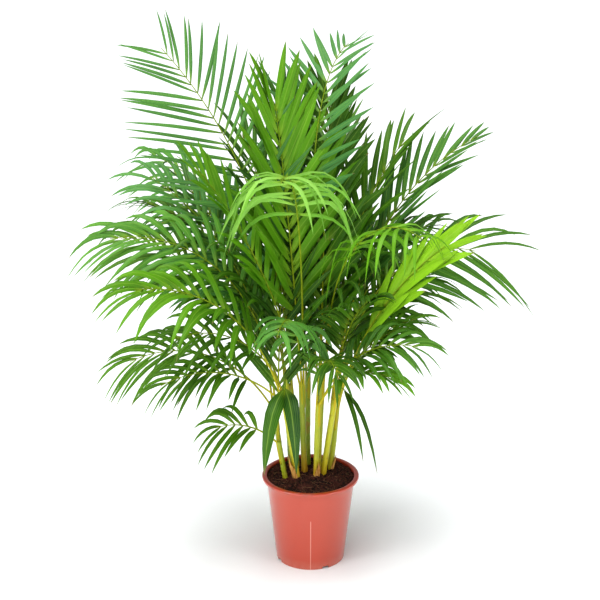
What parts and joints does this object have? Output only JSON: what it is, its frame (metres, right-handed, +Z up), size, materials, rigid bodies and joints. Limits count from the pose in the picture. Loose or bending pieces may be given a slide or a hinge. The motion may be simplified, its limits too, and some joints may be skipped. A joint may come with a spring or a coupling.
{
  "type": "potted palm",
  "caption": "Clump of slender palm canes with arching feather-shaped fronds, rooted in soil in a round tapered plastic nursery pot with a rolled rim.",
  "frame": {"origin": "centre of the pot's foot, on the surface that it stands on", "axes": "+Z up along the pot's axis; -Y is the front of the clump, +X its right side seen from the front"},
  "size_m": [1.1056, 0.9956, 1.3139],
  "materials": {
    "pot_plastic": "gloss",
    "peat": "matte",
    "cane": "satin",
    "leaf": "satin",
    "young_leaf": "satin",
    "dry_sheath": "matte"
  },
  "bodies": {
    "root": {"cane_a": "cane", "cane_a_frond_1": "leaf", "cane_a_frond_2": "leaf", "cane_a_frond_3": "leaf", "cane_a_frond_4": "leaf", "cane_b": "cane", "cane_b_frond_1": "leaf", "cane_b_frond_2": "leaf", "cane_b_frond_3": "leaf", "cane_b_frond_4": "leaf", "cane_c": "cane", "cane_c_frond_1": "leaf", "cane_c_frond_2": "leaf", "cane_c_frond_3": "leaf", "cane_d": "cane", "cane_d_frond_1": "leaf", "cane_d_frond_2": "leaf", "cane_d_frond_3": "leaf", "cane_d_frond_4": "leaf", "cane_e": "cane", "cane_e_frond_1": "leaf", "cane_e_frond_2": "leaf", "cane_e_frond_3": "leaf", "cane_f": "cane", "cane_f_frond_1": "leaf", "cane_f_frond_2": "leaf", "cane_f_frond_3": "leaf", "cane_g": "cane", "cane_g_frond_1": "leaf", "cane_g_frond_2": "leaf", "cane_g_frond_3": "leaf", "cane_h": "cane", "cane_h_frond_1": "young_leaf", "cane_h_frond_2": "leaf", "cane_h_frond_3": "leaf", "cane_i": "cane", "cane_i_frond_1": "leaf", "cane_i_frond_2": "leaf", "cane_i_frond_3": "leaf", "cane_j": "cane", "cane_j_frond_1": "leaf", "cane_j_frond_2": "leaf", "cane_j_frond_3": "leaf", "cane_k": "cane", "cane_k_frond_1": "leaf", "cane_k_frond_2": "leaf", "cane_k_frond_3": "leaf", "cane_l": "cane", "cane_l_frond_1": "leaf", "cane_l_frond_2": "leaf", "cane_l_frond_3": "leaf", "cane_m": "cane", "cane_m_frond_1": "leaf", "cane_m_frond_2": "leaf", "dry_sheath_b": "dry_sheath", "dry_sheath_f": "dry_sheath", "dry_sheath_l": "dry_sheath", "pot": "pot_plastic", "soil": "peat"}
  },
  "joints": []
}
